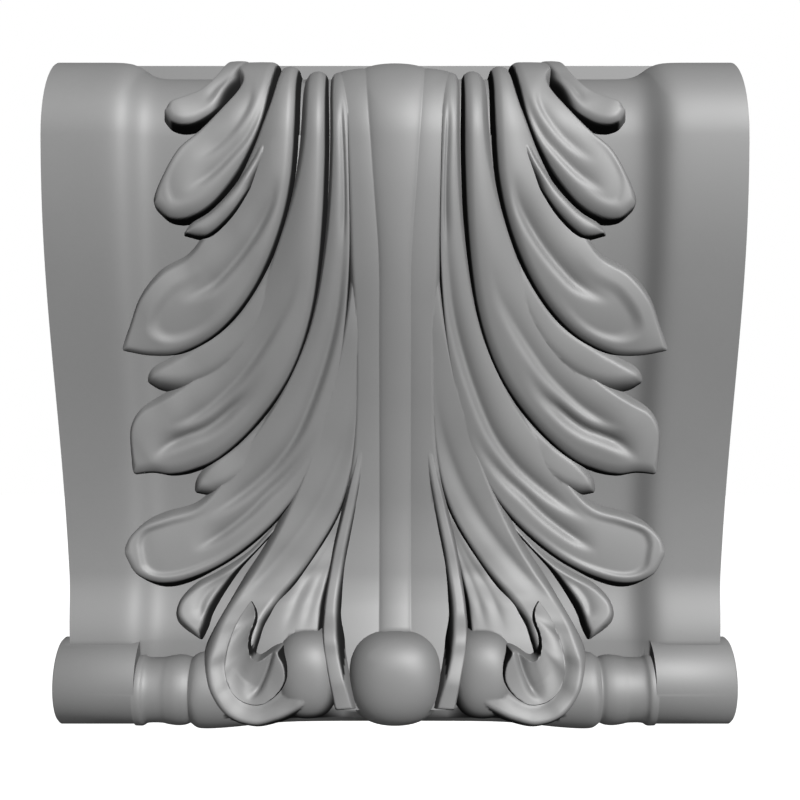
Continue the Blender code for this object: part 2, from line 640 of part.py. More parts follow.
def build():
    clear_scene()
    carving = bpy.data.collections.new("carving")
    bpy.context.scene.collection.children.link(carving)

    turned = [(-x, r) for x, r in reversed(TURNED_PROFILE[1:])] + list(TURNED_PROFILE)
    guide("roll", lathe_mesh("roll", turned, TURNED_DEPTH, TURNED_HEIGHT, ROLL_SIDES), carving)
    fields = bpy.data.collections.new("fields")
    bpy.context.scene.collection.children.link(fields)
    for side in (-1, 1):
        guide("side_field", side_field_mesh("side_field", side), fields)
        end = [(side * x, radius) for x, radius in END_PROFILE]
        guide("roll_end", lathe_mesh("roll_end", end, END_DEPTH, END_HEIGHT, ROLL_SIDES + 4), carving)
        guide("scroll_eye", ball_mesh("scroll_eye", BALLS["scroll_eye"], side), carving)
        for order, (name, leaf) in enumerate(LEAVES.items()):
            guide(name, leaf_mesh(name, leaf, side, BURIED + 0.25 * order), carving)
    guide("stem", stem_mesh("stem"), carving)
    guide("tongue", ball_mesh("tongue", BALLS["tongue"], 1), carving)

    corbel = bpy.data.objects.new("corbel", block_mesh("corbel"))
    bpy.context.scene.collection.objects.link(corbel)
    corbel.data.materials.append(stone_material())
    sink = corbel.modifiers.new("side_fields", "BOOLEAN")
    sink.operation = "DIFFERENCE"
    sink.operand_type = "COLLECTION"
    sink.collection = fields
    sink.solver = "EXACT"
    union = corbel.modifiers.new("carving", "BOOLEAN")
    union.operation = "UNION"
    union.operand_type = "COLLECTION"
    union.collection = carving
    union.solver = "EXACT"
    solid = bpy.data.meshes.new_from_object(corbel.evaluated_get(bpy.context.evaluated_depsgraph_get()))
    corbel.modifiers.clear()
    for group in (carving, fields):
        for item in list(group.objects):
            bpy.data.objects.remove(item)
    form = bmesh.new()
    form.from_mesh(solid)
    bmesh.ops.remove_doubles(form, verts=form.verts, dist=0.00001)
    bmesh.ops.dissolve_degenerate(form, edges=form.edges, dist=0.000001)
    bmesh.ops.triangulate(form, faces=form.faces, ngon_method="BEAUTY")
    form.to_mesh(solid)
    form.free()
    corbel.data = solid


build()
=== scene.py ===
# Carved corbel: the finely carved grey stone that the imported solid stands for, on a plain pale stage.
import json
import math
import bmesh
import bpy
import numpy as np
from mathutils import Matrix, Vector

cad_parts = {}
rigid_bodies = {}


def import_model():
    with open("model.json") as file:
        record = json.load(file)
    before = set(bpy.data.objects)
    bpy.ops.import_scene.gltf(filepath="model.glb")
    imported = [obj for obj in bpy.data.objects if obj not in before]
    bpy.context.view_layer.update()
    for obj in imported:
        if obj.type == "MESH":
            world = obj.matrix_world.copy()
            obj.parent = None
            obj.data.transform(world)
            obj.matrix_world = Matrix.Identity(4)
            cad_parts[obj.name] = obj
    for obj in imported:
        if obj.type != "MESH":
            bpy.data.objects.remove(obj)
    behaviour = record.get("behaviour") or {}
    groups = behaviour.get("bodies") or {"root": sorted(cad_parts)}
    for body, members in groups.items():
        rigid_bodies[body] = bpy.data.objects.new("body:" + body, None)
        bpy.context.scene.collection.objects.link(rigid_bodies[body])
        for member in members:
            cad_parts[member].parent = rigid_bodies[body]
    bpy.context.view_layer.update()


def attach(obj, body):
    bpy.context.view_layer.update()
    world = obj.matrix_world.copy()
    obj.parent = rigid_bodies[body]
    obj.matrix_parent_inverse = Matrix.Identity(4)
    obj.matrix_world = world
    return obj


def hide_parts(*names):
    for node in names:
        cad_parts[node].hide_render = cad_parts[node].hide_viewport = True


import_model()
mm = 0.001

# The carving is drawn on the block's face, unrolled flat. A place on it is (x, w, h) in millimetres:
# x across, w up the face (the height, running on over the scroll at the head), h outward.


def mix(low, high, share):
    return low + (high - low) * share


def ease(share):
    share = np.clip(share, 0.0, 1.0)
    return share * share * (3.0 - 2.0 * share)


def along(levels, share):  # smooth run through levels that stand at equal distances
    levels = np.array(levels, float)
    place = np.clip(share, 0.0, 1.0) * (len(levels) - 1)
    index = np.minimum(np.asarray(place).astype(int), len(levels) - 2)
    return mix(levels[index], levels[index + 1], ease(place - index))


def bezier(points, share):
    a, b, c, d = (np.array(point, float) for point in points)
    s = np.asarray(share, float)[..., None]
    return (1 - s) ** 3 * a + 3 * s * (1 - s) ** 2 * b + 3 * s ** 2 * (1 - s) * c + s ** 3 * d


def through(points, share):  # smooth curve that passes through every point
    points = np.array(points, float)
    padded = np.vstack([2 * points[0] - points[1], points, 2 * points[-1] - points[-2]])
    place = np.clip(np.asarray(share, float), 0.0, 1.0) * (len(points) - 1)
    index = np.minimum(place.astype(int), len(points) - 2)
    t = (place - index)[..., None]
    p0, p1, p2, p3 = (padded[index + k] for k in range(4))
    return 0.5 * (2 * p1 + (p2 - p0) * t + (2 * p0 - 5 * p1 + 4 * p2 - p3) * t * t
                  + (3 * p1 - p0 - 3 * p2 + p3) * t ** 3)


# the block's face

block = {
    "scrollRadius": 39.8, "scrollDepth": 15.4, "scrollHeight": 111.0,    # quarter round at the head
    "neckDepth": 24.1, "neckHeight": -80.0, "bellyHandle": 70.0, "neckHandle": 74.0,
    "footDepth": 30.0, "footHeight": -112.0, "footHandle": 12, "underDepth": 22.0, "underHeight": -133.0,
    "bottom": -145.0, "footBack": 12.0,
    "halfWidth": 150.7, "taperStart": 80.0, "taper": 5.7, "taperLength": 191.0, "taperPower": 2.2,
    "panelDepth": 7.3, "panelEdge": 112.5, "stepSoftness": 5.2,
    "sideMargin": 6.5, "sideBevel": 2.5, "sideDepth": 2.5, "sideFoot": -104.0,
    # columns of the mesh: a few on the panel, close ones on both sides of its edge, one by the side
    "plainStations": (0, 45, 75), "fineBefore": 22, "fineAfter": 19, "borderStation": 8,
}


def halfAt(height):  # half width of the block, which tapers towards its foot
    drop = np.maximum(block["taperStart"] - height, 0) / block["taperLength"]
    return block["halfWidth"] - block["taper"] * drop ** block["taperPower"]


def faceCurve(steps):  # the block's front seen from the side: scroll, belly, neck and foot
    b = block
    crown = b["scrollDepth"] + b["scrollRadius"]
    belly = ((crown, b["scrollHeight"]), (crown, b["scrollHeight"] - b["bellyHandle"]),
             (b["neckDepth"], b["neckHeight"] + b["neckHandle"]), (b["neckDepth"], b["neckHeight"]))
    foot = ((b["neckDepth"], b["neckHeight"]), (b["neckDepth"], b["neckHeight"] - b["footHandle"]),
            (b["footDepth"], b["footHeight"] + b["footHandle"]), (b["footDepth"], b["footHeight"]))
    turn = np.linspace(math.pi / 2, 0, steps // 2, endpoint=False)
    arc = np.stack([b["scrollDepth"] + b["scrollRadius"] * np.cos(turn),
                    b["scrollHeight"] + b["scrollRadius"] * np.sin(turn)], -1)
    shares = np.linspace(0, 1, steps)
    return np.vstack([arc, bezier(belly, shares)[:-1], bezier(foot, shares[::3])])


def unrolled():  # places up the face, with the depth, the height and the outward way at each
    line = faceCurve(241)
    behind, below = (-30, line[0][1]), (line[-1][0], -200)    # the flat top and the foot run on past the ends
    line = np.vstack([behind, [line[0][0] - 0.01, line[0][1]], line, below])[::-1]
    first = int(np.argmax(line[:, 1] > block["scrollHeight"] + 1e-6))
    w = line[:, 1].copy()
    w[first:] = block["scrollHeight"] + np.cumsum(np.hypot(*np.diff(line[first - 1:], axis=0).T))
    run = np.diff(line, axis=0)
    run /= np.hypot(*run.T)[:, None]
    run = np.vstack([run[:1], run[1:] + run[:-1], run[-1:]])
    run /= np.hypot(*run.T)[:, None]
    return w, line[:, 0], line[:, 1], run[:, 1], -run[:, 0]


faceLine = unrolled()


def onFace(x, w, h):
    depth, height, outward, upward = (np.interp(w, faceLine[0], row) for row in faceLine[1:])
    return np.stack([x + 0 * w, -(depth + h * outward), height + h * upward], -1) * mm


# closed forms

def toMesh(form, name):
    mesh = bpy.data.meshes.new(name)
    form.to_mesh(mesh)
    form.free()
    return mesh


def readPlaces(mesh):
    places = np.empty(len(mesh.vertices) * 3, np.float32)
    mesh.vertices.foreach_get("co", places)
    return places.reshape(-1, 3)


def writePlaces(mesh, places):
    mesh.vertices.foreach_set("co", np.asarray(places, np.float32).ravel())


def weld(mesh, distance=2e-7):
    form = bmesh.new()
    form.from_mesh(mesh)
    bmesh.ops.remove_doubles(form, verts=form.verts, dist=distance)
    bmesh.ops.recalc_face_normals(form, faces=form.faces)
    form.to_mesh(mesh)
    form.free()
    return mesh


def slab(name, rows, columns, top, under):  # a grid as the upper surface, with walls and an underside
    form = bmesh.new()
    bmesh.ops.create_grid(form, x_segments=rows, y_segments=columns, size=0.5)
    raised = bmesh.ops.extrude_face_region(form, geom=form.faces[:], use_keep_orig=True)
    upper = [item for item in raised["geom"] if isinstance(item, bmesh.types.BMVert)]
    bmesh.ops.translate(form, verts=upper, vec=(0, 0, 1))
    mesh = toMesh(form, name)
    grid = readPlaces(mesh)
    share, across, isTop = grid[:, 0] + 0.5, grid[:, 1] + 0.5, grid[:, 2] > 0.5
    places = np.empty_like(grid)
    places[isTop] = top(share[isTop], across[isTop])
    places[~isTop] = under(share[~isTop], across[~isTop])
    writePlaces(mesh, places)
    return weld(mesh)


carving = {
    "floor": -9.5, "buried": -13.0,          # where its edges and its undersides end, under the panel
    "wallRun": 0.38, "wallRise": 0.84,       # the steep part of an edge: share of its width and of its height
    "outerWall": 0.88, "roundness": 0.75,    # where the outer edge turns steep, how full the round above is
    "edgeFold": 0.4, "rimFold": 11.0,        # how softly a lobe's two sides meet in its edge and in its dish
    "dishStart": 0.55, "dishRun": 0.3, "dishFall": 2.2,
    "creaseIn": 2.5, "creaseOut": 4.5, "creaseRound": 0.8,
    "rowSpread": 0.75, "columnSpread": 0.7,  # how far the mesh gathers towards a lobe's ends and edges
}

# the leaf: each lobe runs from its root to its tip between an outer and an inner edge
# crest, tilt, dome: level along the lobe, how much lower its outer edge lies, how far it swells
# lip, nose: how softly the outer and inner edges round over; dish: the hollow inside the rim
# rim: how much wider the rim is on the outer and inner sides, and how gently the dish falls on the outer side
# creases: a curve of (x, w) places, then height, and reach on its outer and inner sides
# wall: how much of the inner edge is a steep wall instead of a round
# blunt: the tip isn't rounded over; endSoftness: how softly it is

lobes = {
    "topBud": {
        "outer": ((76, 168), (77, 154), (79.5, 142.5), (84, 134.8), (92, 129.5), (98, 126.3),
                  (100.6, 120.8)),
        "inner": ((62, 164), (64, 152), (67.5, 139.5), (73, 123), (81, 115), (89, 112), (96, 114),
                  (100.6, 120.8)),
        "crest": (-0.2, 0.4, 1.6, 3.4, 3.6), "tilt": (0, 0.5, 1.5, 0.5), "dome": (0.8, 0.8, 0.5, 0),
        "lip": (3, 3, 3.5, 5), "nose": (5, 5, 6, 5), "wall": (0, 0, 1, 1, 1), "dish": 0.0, "rows": 84,
        "columns": 40,
        "creases": (((64.5, 152), (69.5, 144.5), (74, 137), (78, 130.5), (81, 123), -1.3, 2.5, 2.2),),
    },
    "topLobe": {
        "outer": ((72, 178), (72, 163), (71, 150), (68, 141), (70, 133), (75, 125), (84, 114.5),
                  (93.5, 106), (100.5, 94), (104.3, 85), (104.5, 79.5)),
        "inner": ((50.5, 178), (50.5, 158), (51, 140), (54.5, 116), (62, 97), (74, 80.5), (86, 72.6),
                  (96.5, 72.5), (104.5, 79.5)),
        "crest": (-0.2, 0.4, 1.6, 3.8, 4.1), "tilt": (0, 0.5, 3.0, 3.5, 2.5, 1),
        "dome": (0, 0.6, 0.8, 0.5, 0), "lip": (4, 3, 2.3, 3.2, 4.5), "nose": (4, 6, 9, 9.5, 6.5),
        "dish": 0.6, "rows": 96, "columns": 44,
        "creases": (((63.5, 141), (62, 129), (64, 121), (69, 113), (76, 106), (86, 99.5), -1.3, 4.0, 1.7),
                    ((56, 136), (58, 122), (63, 110.5), (70, 102), (79, 93.5), (91, 86), -1.8, 3.5, 1.7)),
    },
    "sliver": {
        "outer": ((52, 142), (55.5, 122), (59.5, 108), (65, 97), (72, 87), (80, 79), (88, 73.8),
                  (93, 67.5)),
        "inner": ((46, 140), (48, 120), (51, 104), (56, 93.5), (61, 84.5), (69, 73.5), (80, 65.3),
                  (93, 67.5)),
        "crest": (-8, -2.5, 1.1, 2.6, 3.6, 4.2, 4.1), "tilt": (2, 3, 2, 1), "dome": (1, 1.5, 1.5, 0.8),
        "lip": (6, 4, 3, 3.5), "nose": (8, 8, 7, 8, 7), "wall": (0, 0, 0.3, 1, 1, 1), "dish": 0.0,
        "rows": 70, "columns": 28,
        "creases": (),
    },
    "shoulderLobe": {
        "outer": ((52, 178), (52, 152), (54, 131), (59, 114), (65, 100), (70, 90), (75.5, 81), (82, 71),
                  (90, 60.5), (102, 53.5), (111.5, 42.5), (116.5, 31), (121, 18.5)),
        "inner": ((41, 178), (40.5, 142), (40.5, 112), (43, 86), (50.5, 61), (62, 40), (76, 25),
                  (92, 16.5), (106, 15.5), (121, 18.5)),
        "crest": (-4.6, -1.0, 0.6, 1.6, 2.8, 4.0, 4.4), "tilt": (0, 1, 4.6, 6, 4.5, 2, 0.5),
        "dome": (2.2, 2.2, 1.5, 0.5), "lip": (2.5, 2.5, 3, 3, 3, 3.5), "nose": (5.5, 6, 6.5, 6.5, 5),
        "rim": (4.5, 0.5, 2.5), "dish": 1.8, "rows": 136, "columns": 50,
        "creases": (((51, 96), (52.5, 84), (57, 74), (63.5, 64), (72, 54), (80, 47), (94, 41), -3.4, 5.0,
                     2.1),),
    },
    "shoulderBud": {
        "outer": ((45, 112), (48, 84), (55.5, 58), (71, 34), (88, 21.5), (99, 15.5), (108.5, 10.5),
                  (112, 3.5)),
        "inner": ((36, 112), (38, 80), (44, 46), (57.5, 19), (74, 4), (91, -2), (104, -1), (112, 3.5)),
        "crest": (-6, -4.5, -3, -2.2, -1.2, -0.2), "tilt": (1, 1, 1, 0.5),
        "dome": (0.5, 1.0, 1.4, 1.4, 0.8), "lip": (3, 3, 3, 4), "nose": (9, 11, 12, 11, 9),
        "wall": (0, 0, 0, 0, 0.5), "dish": 0.0, "rows": 92, "columns": 26,
        "creases": (),
    },
    "middleLobe": {
        "outer": ((41.3, 178), (41, 142), (41.5, 112), (45.5, 86), (52.5, 63), (63, 38), (76, 20),
                  (91, 7), (105, -1.5), (114.5, -6.5), (119.2, -14), (119.8, -25), (118.3, -38.5)),
        "inner": ((29, 178), (28, 142), (27.5, 104), (29.5, 66), (34.5, 33), (44.5, 6.5), (60, -15),
                  (76, -30), (89, -36.5), (100, -38.6), (109, -37.4), (118.3, -38.5)),
        "crest": (-7.0, -2.4, -1.0, 0.4, 1.2, 1.8, 2.6), "tilt": (1, 1.5, 3.5, 4, 1.5, 0.5, 0.3),
        "dome": (2.8, 2.8, 2.2, 2.2, 1.8, 1.2), "lip": (4, 4, 2, 2, 3, 3.5, 4.5), "nose": (6, 6, 7, 9, 8),
        "dish": 0.0, "rows": 140, "columns": 52,
        "creases": (((41.5, 60), (45.5, 43), (52, 31), (59.5, 19.5), (67, 9.5), (75, 1.5), (84, -6),
                     (93, -11), (103, -13.5), -2.8, 6.0, 2.2),
                    ((55, 16), (64.5, 1), (72, -6), (78.5, -11.5), (85, -15.5), (93, -18.5), (101, -22),
                     (110, -28.5), -4.2, 3.6, 2.5)),
    },
    "middleBud": {
        "outer": ((36, 42), (45, 12), (56.5, -6.5), (71, -21.5), (82.5, -30), (90, -38), (92, -46)),
        "inner": ((30, 36), (35, 1), (44, -20), (56, -34), (69, -43), (81, -47.5), (92, -46)),
        "crest": (-7, -4.5, -2.8, -1.4, -0.8), "tilt": (1, 1, 1, 0.5), "dome": (0.5, 0.8, 0.8, 0.5),
        "lip": (3, 3, 3, 4), "nose": (8, 9, 10, 9, 7), "wall": (0, 0, 0, 0, 0.5), "dish": 0.0, "rows": 84,
        "columns": 24,
        "creases": (),
    },
    "lowerLobe": {
        "outer": ((29.8, 178), (29, 142), (28.5, 104), (31, 66), (38, 30), (51, 1), (66, -21),
                  (79, -38.5), (90, -49), (103, -53), (114, -57), (121.3, -63.5), (123.8, -71.5)),
        "inner": ((19.5, 178), (19.5, 135), (18.8, 92), (18.4, 56), (21, 22), (27.5, -12), (37.5, -37),
                  (52, -57), (70, -73), (88, -83), (104, -86.8), (117, -82.5), (123.8, -71.5)),
        "crest": (-6.0, -3.0, -1.8, -0.4, 1.2, 3.0, 4.0), "tilt": (1, 1.5, 2, 3, 2.5, 2.5, 1.0),
        "dome": (1.8, 1.8, 1.2, 0), "lip": (2.5, 2.2, 1.8, 2, 3, 3, 4),
        "nose": (0.8, 1.0, 2.5, 3, 4, 5, 5), "wall": (0, 0.3, 1, 1, 1, 1), "rim": (0.5, 0, 1.3),
        "dish": 1.5, "rows": 140, "columns": 52,
        "creases": (((23.2, 130), (22.8, 118), (22, 98), (21.8, 80), (22.6, 62), -1.3, 1.2, 0.9),
                    ((23, 100), (21.8, 80), (23, 58), (25.3, 37), (29.5, 19), (36, 0), (44, -18),
                     (53, -30.5), (61.5, -38.7), (70, -45.4), (79, -51.2), (91, -58), -3.2, 4.0, 2.2),
                    ((34, -14), (41, -27), (49.5, -37.3), (58, -45), (66, -52.9), (74, -59.3),
                     (82.5, -65), (92, -70), -2.8, 3.5, 2.1)),
    },
    "lowerBud": {
        "outer": ((49, -50), (56, -59.5), (67, -71), (80, -79.5), (91, -84.5), (98.5, -92), (98.5, -101),
                  (87, -111.5)),
        "inner": ((46, -53), (51, -59.5), (58, -67), (68.5, -78), (77, -88.5), (82, -97), (84, -104),
                  (87, -111.5)),
        "crest": (-9, -5, -2.5, -1, -0.5), "tilt": (0, 0, -1.0, -1.5, -1.5),
        "dome": (0, 0.5, 1.5, 1, 0.5), "lip": (2, 3, 4, 4), "nose": (1.5, 2, 3.5, 4), "wall": (0.3, 0.3),
        "dish": 0.0, "rows": 76, "columns": 28,
        "creases": (((72, -80), (82, -86), (87, -93), (87.5, -101), -1.2, 2.5, 2.0),),
    },
    "strap": {
        "outer": ((19, 62), (25, 24), (35.5, -14), (46.5, -43), (59, -67.5), (74, -89.5), (82.5, -105),
                  (86.6, -119), (83.6, -133), (74, -143.8), (61.5, -148), (50, -146.4), (40, -142),
                  (31.5, -136.5), (26, -129), (25, -121)),
        "inner": ((15.4, 62), (14.3, 22), (16.5, -22), (23, -51), (35, -73), (46, -89), (54, -101),
                  (57.5, -110), (59.5, -117), (59, -122), (56.5, -125), (52, -124), (47, -120),
                  (41, -116), (34, -114), (28, -114)),
        "crest": (-4.2, -1.6, -0.4, 0.6, 2.2, 4.5, 8, 12.5, 16, 18.5, 19.5, 20, 19.5, 18, 14, 9),
        "tilt": (0, 0), "dome": (0.8, 0.3, 0, -0.6, -1.0, -1.0, 0, 0),
        "lip": (3, 3, 3, 3.5, 4, 5, 5.5, 6, 6.5, 6.5, 7, 8, 8, 8, 8, 6),
        "nose": (2, 2, 2.5, 3.5, 4.5, 6, 6, 4, 3, 3, 3, 3, 3, 2), "wall": (1, 1, 0.4, 0, 0), "dish": 0.0,
        "rows": 150, "columns": 38,
        "creases": (((17, 10), (19.5, -10), (25, -28.5), (33.5, -47), (45.5, -65), (60.5, -83), (70, -95),
                     -1.2, 2.0, 4.0),
                    ((64, -97), (71, -105.5), (74.4, -114), (73.8, -122), (69.5, -130.5), (61.5, -135),
                     (53, -132.5), (46, -125), (46, -114), -4.5, 3.6, 30)),
    },
    "fan": {
        "outer": ((20, -40), (31, -62), (45, -80), (58, -97), (64, -118)),
        "inner": ((19, -40), (24, -60), (28.5, -78), (32, -96), (33, -118)),
        "crest": (-7, -5, -2.2, 2.5, 7), "tilt": (0, 0, 0, 0), "dome": (0, 0.5, 1, 1),
        "lip": (1.5, 1.5, 1.5, 1.5), "nose": (1.5, 1.5, 2, 2.5), "dish": 0.0, "blunt": True, "rows": 60,
        "columns": 48,
        "creases": (((22.4, -52), (32, -72), (42, -88), (50, -108), -0.9, 1.6, 3.2),
                    ((22.2, -52), (29.2, -72), (36, -88), (41.5, -108), -0.9, 1.6, 3.0),
                    ((22, -52), (26.5, -72), (31.2, -88), (36, -108), -0.9, 1.4, 2.4)),
    },
    "spoon": {
        "outer": ((63.8, -92), (70, -101.5), (74, -110), (75, -118.5), (72.5, -127.5), (66, -133.5),
                  (58, -134.8), (50.5, -131), (45.5, -124), (45, -116), (47.8, -109)),
        "inner": ((63.8, -92), (60.8, -97), (60.2, -101.5), (62.2, -106.8), (62, -111), (59.8, -113.6),
                  (57.5, -112.9), (55, -111.2), (52.5, -110), (50, -109.3), (47.8, -109)),
        "crest": (8.5, 13.8, 18, 20, 21.3, 22, 21.5), "tilt": (0, -1, -1.5, -1, 0, 0),
        "dome": (0, -1.5, -2, -1, 0, 0), "lip": (1, 1.6, 1.8, 2, 2.5, 3.5),
        "nose": (0.8, 1.2, 1.2, 1.2, 1.5), "wall": (0, 0), "dish": 0.0, "rows": 96, "columns": 42,
        "creases": (((49, -97), (51, -104), (52.8, -110.5), (54.4, -116), (56.5, -122), (59.5, -127.5),
                     (64, -131), -3.6, 3.2, 1.3),),
    },
    "band": {
        "outer": ((16, 8), (17.5, -20), (23, -46), (29, -72), (32.5, -96), (32.5, -110), (29.5, -126),
                  (27, -139)),
        "inner": ((8, 5), (9.5, -20), (13.5, -46), (18.5, -72), (21, -96), (19.5, -110), (17.5, -124),
                  (15, -138)),
        "crest": (-3.5, -0.4, 1.8, 3.8, 7.2, 15, 19.5, 19.5), "tilt": (0, 0, 0, 0),
        "dome": (0, 0.5, 0.8, 0.8), "lip": (2, 2, 2, 2.5), "nose": (4, 5.5, 6.5, 3), "wall": (0, 0),
        "dish": 0.0, "endSoftness": 4.0, "rows": 110, "columns": 36,
        "creases": (),
    },
}


def edgePlace(lobe, side, share):
    return through(lobe[side], share)


def edgeRoute(lobe, steps=120):
    shares = np.linspace(0, 1, steps + 1)
    wall = along(lobe.get("wall", (1, 1)), shares)
    tipWall = wall * ease((shares - carving["outerWall"]) / 0.12)
    outer = np.column_stack([edgePlace(lobe, "outer", shares), along(lobe["lip"], shares), tipWall])
    inner = np.column_stack([edgePlace(lobe, "inner", shares), along(lobe["nose"], shares), wall])
    route = np.vstack([outer, inner[::-1]])
    starts, runs = route[:-1], np.diff(route, axis=0)
    if lobe.get("blunt"):
        starts, runs = np.delete(starts, steps, axis=0), np.delete(runs, steps, axis=0)
    if lobe.get("endSoftness"):
        starts[steps, 2], runs[steps, 2] = lobe["endSoftness"], 0.0
    long = np.hypot(runs[:, 0], runs[:, 1]) > 1e-6
    return starts[long], runs[long], int(long[:steps].sum())


def nearest(spots, starts, runs):  # distance to each segment, the share along it, and the way to the spot
    gap = spots[:, None, :] - starts[None, :, :2]
    share = np.clip((gap * runs[None, :, :2]).sum(2) / (runs[:, :2] ** 2).sum(1), 0.0, 1.0)
    miss = gap - share[..., None] * runs[None, :, :2]
    return np.hypot(miss[..., 0], miss[..., 1]), share, miss


def softLower(first, second, blend):  # the lower of two values, with the fold between them rounded
    fold = np.maximum(1.0 - abs(first - second) / blend, 0.0)
    return np.minimum(first, second) - blend / 4 * fold * fold


def edgeRounding(route, spots, rim):  # height share, and how far in a place is beyond the rounding
    starts, runs, half = route
    distance, share, _ = nearest(spots, starts, runs)
    soft = starts[:, 2] + share * runs[:, 2]
    units = distance / soft
    rows = np.arange(len(spots))
    index = np.argmin(units, axis=1)
    outerRim, innerRim, slack = rim
    halves = ((slice(0, half), outerRim, slack), (slice(half, None), innerRim, 1.0))
    sides = [(units[:, part].min(1), ((distance - soft)[:, part].min(1) - margin) / spread)
             for part, margin, spread in halves]
    inset = np.clip(softLower(sides[0][0], sides[1][0], carving["edgeFold"]), 0.0, 1.0)
    wall = starts[index, 3] + share[rows, index] * runs[index, 3]
    run, rise = np.maximum(carving["wallRun"] * wall, 1e-6), carving["wallRise"] * wall
    curve = np.sin(math.pi / 2 * np.clip((inset - run) / (1.0 - run), 0.0, 1.0)) ** carving["roundness"]
    height = np.where(inset < run, rise * inset / run, rise + (1.0 - rise) * curve)
    return height, softLower(sides[0][1], sides[1][1], carving["rimFold"])


def creaseLevel(crease, spots):  # a valley with a slow outer slope and a steep inner one
    *points, height, outerReach, innerReach = crease
    line = through(points, np.linspace(0, 1, 49))
    starts, runs = line[:-1], np.diff(line, axis=0)
    distance, share, miss = nearest(spots, starts, runs)
    index = np.argmin(distance, axis=1)
    rows = np.arange(len(spots))
    outward = miss[rows, index, 1] * runs[index, 0] - miss[rows, index, 0] * runs[index, 1]
    reach = (index + share[rows, index]) / len(runs)
    strength = ease(reach * carving["creaseIn"]) * ease((1.0 - reach) * carving["creaseOut"])
    away, rounded = distance[rows, index], carving["creaseRound"]
    outerFall = np.exp((rounded - np.hypot(away, rounded)) / outerReach)
    return height * strength * np.where(outward > 0, outerFall, np.exp(-(away / innerReach) ** 2))


def lobeLevel(lobe, share, across, spots, route):
    level = along(lobe["crest"], share) - along(lobe["tilt"], share) * (1.0 - across) ** 2
    level += along(lobe["dome"], share) * 4.0 * across * (1.0 - across)
    rounding, beyond = edgeRounding(route, spots, lobe.get("rim", (0, 0, 1)))
    dishShare = ease((share - carving["dishStart"]) / carving["dishRun"]) * ease(beyond / carving["dishFall"])
    level -= lobe["dish"] * dishShare
    for crease in lobe["creases"]:
        level += creaseLevel(crease, spots)
    return mix(carving["floor"], level, rounding)


def lobeSlab(name, lobe, side, depth):
    route = edgeRoute(lobe)

    def place(share, across):
        share = mix(share, 0.5 - 0.5 * np.cos(math.pi * share), carving["rowSpread"])
        across = mix(across, 0.5 - 0.5 * np.cos(math.pi * across), carving["columnSpread"])
        spots = mix(edgePlace(lobe, "outer", share), edgePlace(lobe, "inner", share), across[:, None])
        return share, across, spots

    def top(share, across):
        share, across, spots = place(share, across)
        return onFace(side * spots[:, 0], spots[:, 1], lobeLevel(lobe, share, across, spots, route))

    def under(share, across):
        spots = place(share, across)[2]
        return onFace(side * spots[:, 0], spots[:, 1], depth)

    return slab(name, lobe["rows"], lobe["columns"], top, under)


# the stem: a round bead between two hollow-sided zones that flare towards the tongue

stem = {
    "edge": ((26.5, 178), (26, 144), (23, 120), (21.5, 90), (20.5, 57), (19, 20), (20, -20),
             (24, -50), (28, -76), (31, -104), (29, -120), (25, -138)),
    "bead": ((14, 178), (12.5, 140), (9.5, 95), (7, 58), (7, 20), (7, -30), (7, -75), (7, -138)),
    "edgeLevel": (-4.6, -4.0, -3.0, -2.0, -0.8, 0.5, 3.0, 13.0),
    "creaseLevel": (-2.6, -2.4, -1.8, -1.2, -1.0, -0.4, 2.0, 13.0),
    "beadRise": (3.4, 3.0, 2.4, 2.0, 2.0, 2.0, 2.0, 2.0), "beadShare": 0.4, "swell": 0.5, "soft": 3.0,
    "top": 178.0, "foot": -137.0, "rows": 150, "columns": 84,
}


def widthAt(points, height):  # half width of the stem where it stands at a height
    curve = through(points, np.linspace(0, 1, 200))[::-1]
    return np.interp(height, curve[:, 1], curve[:, 0])


def stemSlab():
    def place(share, across):
        w = mix(stem["top"], stem["foot"], share)
        reach = across * 2.0 - 1.0
        edge, bead = widthAt(stem["edge"], w), widthAt(stem["bead"], w)
        part = stem["beadShare"]
        inner = reach / part * bead     # columns fall on the creases beside the bead
        outer = np.sign(reach) * mix(bead, edge, ease((abs(reach) - part) / 0.6) ** 0.8)
        return w, np.where(abs(reach) <= part, inner, outer), edge, bead

    def top(share, across):
        w, x, edge, bead = place(share, across)
        crease, rise = along(stem["creaseLevel"], share), along(stem["beadRise"], share)
        middle = crease + rise * np.sqrt(1.0 - np.minimum(abs(x) / bead, 1) ** 2 * 0.9)
        middle -= rise * math.sqrt(0.1)
        out = np.clip((abs(x) - bead) / (edge - bead), 0, 1)
        zone = mix(crease, along(stem["edgeLevel"], share), out)
        zone += stem["swell"] * np.sin(math.pi * out ** 0.8)
        inset = np.clip((edge - abs(x)) / stem["soft"], 0.0, 1.0)
        zone = mix(carving["floor"], zone, np.sqrt(1.0 - (1.0 - inset) ** 2))
        return onFace(x, w, np.where(abs(x) < bead, middle, zone))

    def under(share, across):
        w, x, *_ = place(share, across)
        return onFace(x, w, carving["buried"] - 1.0)

    return slab("stem", stem["rows"], stem["columns"], top, under)


# the roll along the foot

roll = {
    "endRadius": 19.24, "endDepth": 22.0, "endHeight": -128.9, "endInner": 114.4, "endOuter": 150.0,
    "depth": 25.5, "height": -132.5, "sides": 80, "samples": 56, "endStep": 0.8,
    "profile": ((0, 13.6), (42, 13.8), (60, 15), (72, 16.2), (82, 16.85), (87.5, 16.6), (90.3, 15),
                (91.2, 14.4), (93.5, 15.2), (97, 15.5), (101, 15), (104, 14.4), (110, 14.4), (112.5, 15.6),
                (115.5, 15.6)),
    "endRings": ((0, 19.24), (0.8, 18.44), (0.8, 14), (-1.2, 12.5), (-1.2, 7.5), (0.8, 6), (0.8, 0)),
}


